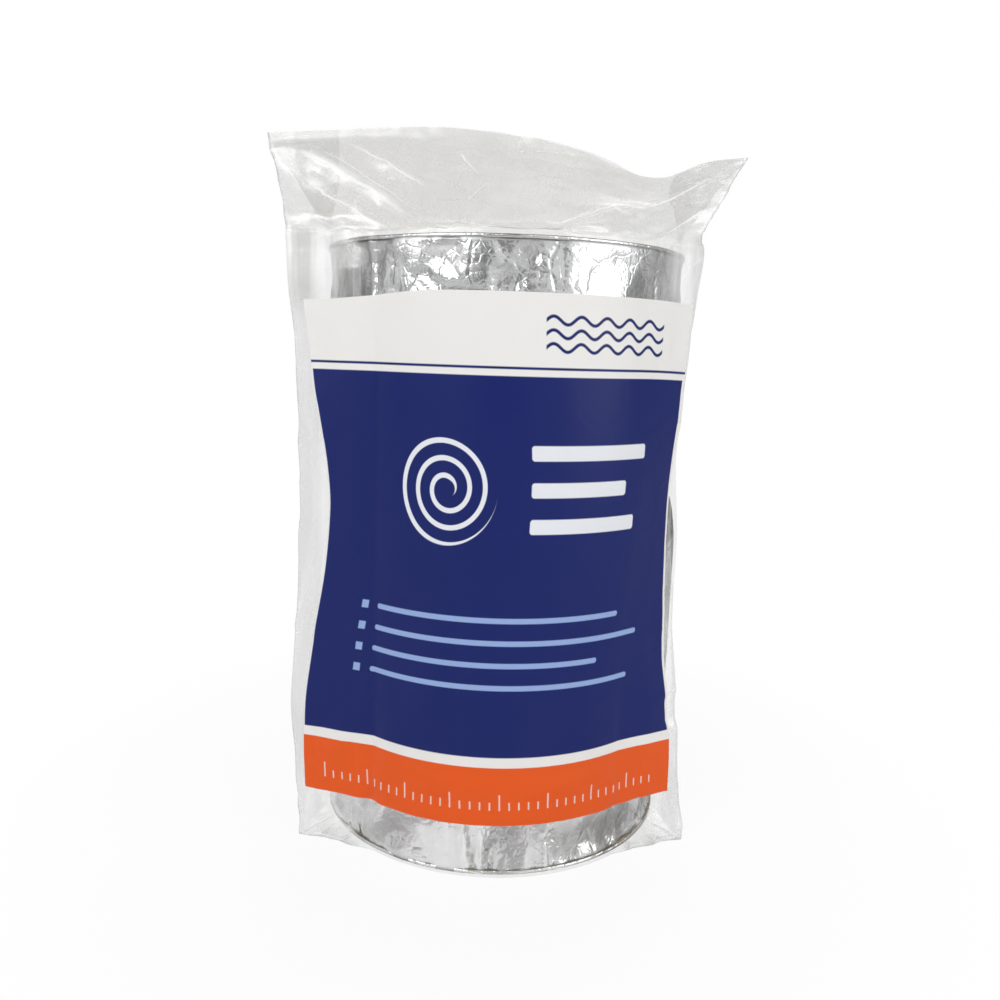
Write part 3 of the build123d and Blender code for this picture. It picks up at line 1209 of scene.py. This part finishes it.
def settle(shape, held):
    """Lets the film settle by cloth simulation, held where held is 1."""
    rows, columns = shape.shape[:2]
    bumpy = facets(*RUMPLED_SHEET, columns, rows, 30 * MM, 1.6 * MM, 41, 1.2) * (1 - held)
    rumpled = shape + normals_of(shape) * bumpy[..., None]
    film = sheet_object("settling_film", rumpled, bpy.data.materials.new("plain"))
    for name, weights in (("held", held), ("slack", np.ones(held.shape))):
        group = film.vertex_groups.new(name=name)
        for index, weight in enumerate(weights.ravel().tolist()):
            group.add([index], weight, "REPLACE")
    cloth = film.modifiers.new("cloth", "CLOTH")
    settings = cloth.settings
    settings.quality = 8
    settings.mass = 0.05
    settings.tension_stiffness = settings.compression_stiffness = 25
    settings.shear_stiffness = 15
    settings.bending_stiffness = 1.2
    settings.tension_damping = settings.compression_damping = settings.shear_damping = 5
    settings.bending_damping = 0.5
    settings.air_damping = 2.0
    settings.vertex_group_mass = "held"
    settings.pin_stiffness = 1.0
    settings.vertex_group_shrink = "slack"
    settings.shrink_min = 0.0
    settings.shrink_max = -0.05
    settings.effector_weights.gravity = 0
    cloth.collision_settings.distance_min = 0.5 * MM
    cloth.collision_settings.collision_quality = 3
    cloth.collision_settings.use_self_collision = False
    former = make_former()
    scene = bpy.context.scene
    for frame_number in range(1, SETTLING_STEPS + 1):
        scene.frame_set(frame_number)
    graph = bpy.context.evaluated_depsgraph_get()
    settled = film.evaluated_get(graph).to_mesh()
    flat = np.empty(rows * columns * 3, np.float32)
    settled.vertices.foreach_get("co", flat)
    film.evaluated_get(graph).to_mesh_clear()
    scene.frame_set(1)
    for made in (film, former):
        bpy.data.objects.remove(made)
    return flat.astype(float).reshape(rows, columns, 3)


def tension_creases(across, up):
    """The creases that the pull between the rim and the mouth's corners raises in the gable's front."""
    width, height = GABLE_FRONT
    rise = np.zeros_like(across)
    for start, end, line_width, lift in GABLE_CREASES:
        ends = [(u * width, v * height) for u, v in (start, end)]
        rise = np.maximum(rise, lift * MM * ridge(across * width, up * height, *ends, line_width * MM))
    return rise


class FilmPlaces:
    """Where each point of the film lies: up the sleeve and the gable, across the front, and off the roll."""

    def __init__(self, shape, sizes):
        rows, columns = shape.shape[:2]
        column = np.arange(columns)[None, :]
        self.row = np.arange(rows)[:, None]
        self.sheet = (*RUMPLED_SHEET, columns, rows)
        self.height = shape[..., 2]
        self.gable = np.clip((self.row - RIM_ROW) / (GABLE_ROWS - 1), 0, 1) + 0 * column
        self.across = (column - CORNER_LEFT) / (CORNER_RIGHT - CORNER_LEFT) + 0 * self.row
        self.front = (self.across >= 0) & (self.across <= 1)
        self.behind = (self.across < -0.55) | (self.across > 1.55)
        bearing = np.degrees(np.arctan2(shape[..., 0], -shape[..., 1])) % 360
        self.off_roll = np.hypot(shape[..., 0], shape[..., 1]) - ROLL_RADIUS - sizes.clearance
        self.off_roll -= SWELL * swelling(bearing, self.height)
        self.above = smoothstep(self.gable, 0.0, 0.12)
        self.standing = smoothstep(self.off_roll, 1.5 * MM, 6 * MM) * (1 - smoothstep(self.gable, 0.0, 0.2))


def held_film(places):
    """1 where the film stays still while it settles: on the roll's side, under it and along the mouth."""
    height = places.height
    tight = smoothstep(height, 30 * MM, 48 * MM) * (1 - smoothstep(height, 284 * MM, 300 * MM))
    held = np.where(places.row < RIM_ROW, tight, 0.0)
    held[: UNDER_ROWS + 1] = 1
    held[-1 - COARSE :] = 1
    return held


def rumples(places):
    """How far the film stands out of its settled shape, in the gable's creases and in loose crumples."""
    across, gable, above, sheet = places.across, places.gable, places.above, places.sheet
    push = tension_creases(across, gable) * places.front * (gable > 0)
    push += facets(*sheet, 17 * MM, 1.1 * MM, 32, 1.2) * above
    where = smoothstep(facets(*sheet, 40 * MM, 1.0, 37), -0.4, 0.3)
    push += facets(*sheet, 8 * MM, 0.4 * MM, 36, 1.2) * above * where
    past_front = np.maximum(-across, across - 1).clip(0, 0.25) * 4
    push += facets(*sheet, 13 * MM, 1.3 * MM, 38, 1.2) * above * past_front
    corner = smoothstep(across, 0.78, 0.95) * smoothstep(1.25 - across, 0.0, 0.15)
    corner = corner * smoothstep(gable, 0.3, 0.8)
    push += facets(*sheet, 5 * MM, 0.5 * MM, 33) * corner
    ears = (1 - smoothstep(places.height, 20 * MM, 60 * MM)) * (places.row >= UNDER_ROWS)
    push += facets(*sheet, 11 * MM, 1.0 * MM, 34, 2.2) * places.standing
    push += facets(*sheet, 11 * MM, 0.9 * MM, 35, 1.2) * ears * places.standing
    return push


def film_values(places, moved):
    """What the film's material reads at each point: creases, looseness, milky film and the gable's chart."""
    across, gable, front, behind = places.across, places.gable, places.front, places.behind
    beside = ~behind & ~front
    # Crease values whiten the film, partly as its own whitening at folds and partly as a painted highlight,
    # kept weaker off the front
    bend = np.clip(sharpness(moved) / (0.42 * MM), 0, 1) * np.where(front, 1.0, 0.35)
    pulled = tension_creases(across, gable) / (STRONGEST_LIFT * MM) * front * places.above
    bend = np.maximum(bend * 0.8, 0.60 * pulled ** 2)
    bend[:RIM_ROW, [CORNER_LEFT, CORNER_RIGHT]] = 0.5
    loose = np.maximum(places.above, places.standing * 0.65)
    loose = loose * (1 - 0.80 * beside * smoothstep(gable, 0.0, 0.3)) * np.where(behind, 0.7, 1.0)
    near_rim = smoothstep(places.height, 262 * MM, 292 * MM) * (1 - smoothstep(gable, 0.05, 0.35))
    veil_start = np.where(across < 0.5, 5.5 * MM, 0.3 * MM)
    milky = near_rim * smoothstep(places.off_roll - veil_start, 0.0, 4.5 * MM) * ~behind
    gable_x = np.clip(across, -0.5, 1.5) * GABLE_FRONT[0]
    gable_y = np.where(behind | (gable == 0), -0.1, gable * GABLE_FRONT[1])
    return {"crease": bend, "loose": loose, "milky": milky, "gable_x": gable_x, "gable_y": gable_y}


def make_bag(sizes, material):
    """The film round the roll, drawn up to its flat mouth, with its creases."""
    smooth = shape = film_shape(sizes)
    places = FilmPlaces(smooth, sizes)
    coarse = smooth[::COARSE, ::COARSE]
    moved = settle(coarse, held_film(places)[::COARSE, ::COARSE]) - coarse
    shape = smooth + refine(refine(moved))
    points = shape + normals_of(shape) * rumples(places)[..., None]
    points[..., 2] = np.clip(points[..., 2], OVER_FLOOR, BAG_HIGH.z + 2 * MM)
    made = sheet_object("film_bag", points, material, chart_of(smooth, sizes))
    keep_values(made, film_values(places, points - smooth))
    return made


# The stage


def aim(made, target):
    made.rotation_euler = (Vector(target) - made.location).to_track_quat("-Z", "Y").to_euler()


# The softboxes: place, width and height, and power as a share of the key light's
SOFTBOXES = {
    "key_light": ((-0.95, -1.15, 1.15), (1.3, 1.5), 1.0),
    "fill_light": ((1.25, -0.80, 0.75), (1.0, 1.4), 0.55),
    "back_light": ((0.25, 1.30, 1.05), (1.2, 0.6), 0.5),
}


def softbox(name, place, size, watts):
    lamp = bpy.data.lights.new(name, "AREA")
    lamp.shape = "RECTANGLE"
    lamp.size, lamp.size_y = size
    lamp.energy = watts
    made = bpy.data.objects.new(name, lamp)
    made.location = place
    bpy.context.scene.collection.objects.link(made)
    aim(made, (0, 0, 0.17))
    return made


def seen_background(tree):
    """Two masks of rays: those that should find a white background, and those that mirror the studio."""
    path = tree.data.nodes.new("ShaderNodeLightPath")
    rays = [Value(tree, path.outputs[name]) for name in ("Is Camera Ray", "Is Transmission Ray")]
    return tree.math("MAXIMUM", *rays), Value(tree, path.outputs["Is Glossy Ray"])


def towards_back(tree, place, start, end):
    """Rises from 0 to 1 towards the dark screen behind the object, which only the foil mirrors."""
    axes = tree.data.nodes.new("ShaderNodeSeparateXYZ")
    tree.feed(axes.inputs[0], place)
    return tree.step(Value(tree, axes.outputs["Y"]), start, end)


def make_sky(sizes):
    """White behind the object, an even light all round, and broad bright and dark sides for the foil."""
    world = bpy.data.worlds.new("studio")
    bpy.context.scene.world = world
    world.use_nodes = True
    tree = Tree(world.node_tree)
    seen, mirrored = seen_background(tree)
    direction = tree.node("ShaderNodeTexCoord", output="Generated")
    panels = tree.noise(tree.scaled(direction, (1.0, 1.0, 0.45)), 2.6, 1.0)
    lit = 0.08 + 0.72 * tree.step(panels, 0.38, 0.64)
    studio = lit * (1 - towards_back(tree, direction, 0.5, 0.9) * 0.8)
    level = tree.math("MAXIMUM", mirrored * studio, seen)
    other = 1 - tree.math("MAXIMUM", mirrored, seen)
    strength = level + other * sizes.sky_level
    sky = tree.node("ShaderNodeBackground", None, {"Color": (1, 1, 1, 1), "Strength": strength})
    tree.node("ShaderNodeOutputWorld", None, {"Surface": sky})


def make_floor(sizes):
    """A plain pale floor that fades to white away from the object."""
    half = sizes.floor_size / 2
    mesh = bpy.data.meshes.new("floor")
    corners = [(-half, -half, 0), (half, -half, 0), (half, half, 0), (-half, half, 0)]
    mesh.from_pydata(corners, [], [(0, 1, 2, 3)])
    floor = bpy.data.objects.new("floor", mesh)
    bpy.context.scene.collection.objects.link(floor)
    material, tree = new_material("pale_floor")
    place = tree.node("ShaderNodeTexCoord", output="Object")
    away = tree.node("ShaderNodeVectorMath", {"operation": "LENGTH"}, {0: place}, output="Value")
    seen, mirrored = seen_background(tree)
    plain = seen * (0.90 + 0.10 * tree.step(away, 0.12, 0.34))
    fade = tree.math("MAXIMUM", plain, mirrored * (0.6 + 0.4 * tree.step(away, 0.10, 0.30)))
    # Rays that mirror the floor find dark patches and a dark screen in its white glow: painted reflections
    # for the foil
    patches = tree.noise(place, 17.0, 1.0)
    screen = towards_back(tree, place, 0.25, 0.9) * 0.8
    bright = 1 - mirrored * tree.math("MAXIMUM", tree.step(patches, 0.42, 0.56) * 0.8, screen)
    ground = tree.node(
        "ShaderNodeBsdfPrincipled", None, {"Base Color": colour4(sizes.floor_colour), "Roughness": 0.8}
    )
    white = tree.node("ShaderNodeEmission", None, {"Color": (1, 1, 1, 1), "Strength": bright})
    shader = tree.node("ShaderNodeMixShader", None, {0: fade, 1: ground, 2: white})
    tree.node("ShaderNodeOutputMaterial", None, {"Surface": shader})
    mesh.materials.append(material)


def make_camera():
    """The photograph's camera: just in front of the bag, a little below its top, tilted down."""
    place = Vector((-3.6, -490.8, 254.9)) * MM
    pitch, yaw, roll = radians(9.60), radians(0.41), radians(1.77)
    forward = Vector((sin(yaw) * cos(pitch), cos(yaw) * cos(pitch), -sin(pitch)))
    level = Vector((cos(yaw), -sin(yaw), 0))
    upright = level.cross(forward)
    right = level * cos(roll) + upright * sin(roll)
    up = upright * cos(roll) - level * sin(roll)
    data = bpy.data.cameras.new("camera")
    data.sensor_width = 36.0
    data.lens = 31.69
    data.clip_start = 0.01
    camera = bpy.data.objects.new("camera", data)
    turned = Matrix((right, up, -forward)).transposed()
    camera.matrix_world = Matrix.Translation(place) @ turned.to_4x4()
    bpy.context.scene.collection.objects.link(camera)
    bpy.context.scene.camera = camera


# Operators


class ROLL_OT_coil(bpy.types.Operator):
    """Make the roll: foil facing, foil edges and wool"""

    bl_idname = "roll.coil"
    bl_label = "Make the roll"

    def execute(self, context):
        sizes = context.scene.roll_sizes
        foil = make_foil(sizes)
        wool = make_wool(sizes)
        facing = make_facing(sizes, foil)
        edges = make_edges(sizes, foil)
        ends = make_wool_ends(sizes, wool)
        for piece in (facing, edges, ends):
            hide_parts("insulation_roll")
            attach(piece, BODY)
        return {"FINISHED"}


class ROLL_OT_bag(bpy.types.Operator):
    """Make the printed film bag round the roll"""

    bl_idname = "roll.bag"
    bl_label = "Make the bag"

    def execute(self, context):
        sizes = context.scene.bag_sizes
        bag = make_bag(sizes, make_film(sizes))
        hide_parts("bag")
        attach(bag, BODY)
        return {"FINISHED"}


class ROLL_OT_stage(bpy.types.Operator):
    """Make the floor, the lights and the camera"""

    bl_idname = "roll.stage"
    bl_label = "Make the stage"

    def execute(self, context):
        sizes = context.scene.stage_sizes
        make_sky(sizes)
        make_floor(sizes)
        for name, (place, size, share) in SOFTBOXES.items():
            softbox(name, place, size, sizes.key_watts * share)
        make_camera()
        bpy.context.scene.view_settings.view_transform = "Standard"
        return {"FINISHED"}


class ROLL_PT_panel(bpy.types.Panel):
    """The steps and the sizes in the sidebar"""

    bl_idname = "ROLL_PT_panel"
    bl_label = "Insulation roll"
    bl_space_type = "VIEW_3D"
    bl_region_type = "UI"
    bl_category = "Roll"

    def draw(self, context):
        layout = self.layout
        for operator, group in (
            (ROLL_OT_coil, context.scene.roll_sizes),
            (ROLL_OT_bag, context.scene.bag_sizes),
            (ROLL_OT_stage, context.scene.stage_sizes),
        ):
            box = layout.box()
            box.operator(operator.bl_idname)
            for name in group.bl_rna.properties.keys():
                if name not in ("rna_type", "name"):
                    box.prop(group, name)


CLASSES = (RollSizes, BagSizes, StageSizes, ROLL_OT_coil, ROLL_OT_bag, ROLL_OT_stage, ROLL_PT_panel)
GROUPS = {"roll_sizes": RollSizes, "bag_sizes": BagSizes, "stage_sizes": StageSizes}


def register():
    for each in CLASSES:
        bpy.utils.register_class(each)
    for name, group in GROUPS.items():
        setattr(bpy.types.Scene, name, bpy.props.PointerProperty(type=group))


def unregister():
    for name in GROUPS:
        delattr(bpy.types.Scene, name)
    for each in reversed(CLASSES):
        bpy.utils.unregister_class(each)


def main():
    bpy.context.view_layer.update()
    register()
    bpy.ops.roll.coil()
    bpy.ops.roll.bag()
    bpy.ops.roll.stage()


if __name__ == "__main__":
    main()
